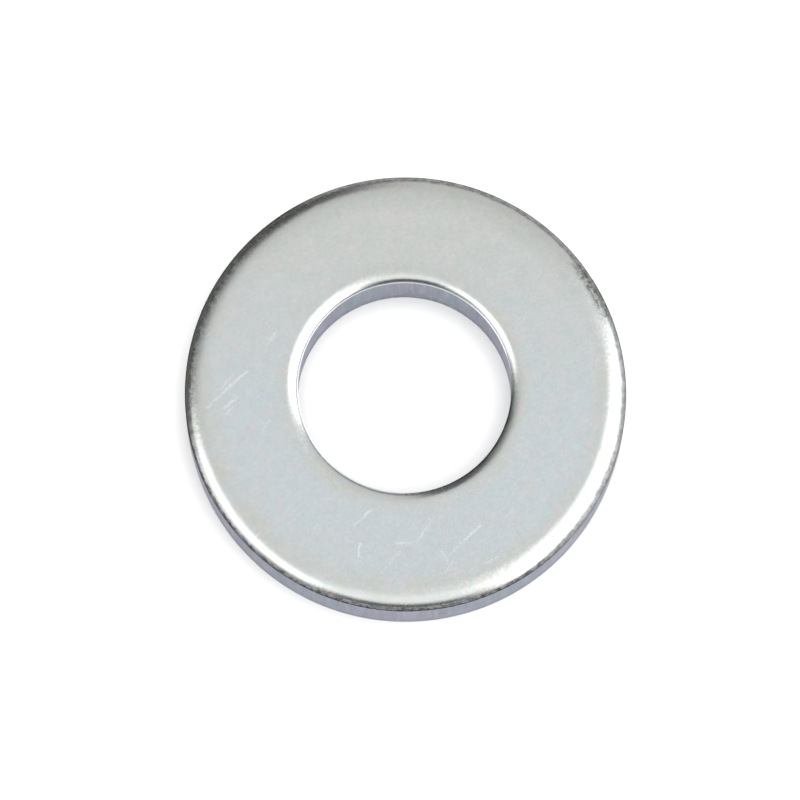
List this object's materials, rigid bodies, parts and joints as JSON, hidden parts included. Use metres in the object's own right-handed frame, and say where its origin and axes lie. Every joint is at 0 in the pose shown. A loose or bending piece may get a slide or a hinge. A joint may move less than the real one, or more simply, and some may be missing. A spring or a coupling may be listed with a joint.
{
  "type": "flat washer",
  "caption": "Thick plain flat washer, stamped from steel plate and zinc plated, with rounded upper edges and a clearance hole for a bolt.",
  "frame": {"origin": "centre of the outside circle, on the lower face", "axes": "+Z is the washer's axis, from the lower face with the square edges to the upper face with the rounded edges; +Y points from the centre towards the side where the hole runs off centre"},
  "size_m": [0.0436, 0.0436, 0.0084],
  "materials": {
    "zinc_plated_steel": "bright zinc plate with a clear blue passivation, lightly scuffed"
  },
  "bodies": {
    "root": {"washer": "zinc_plated_steel"}
  },
  "joints": []
}
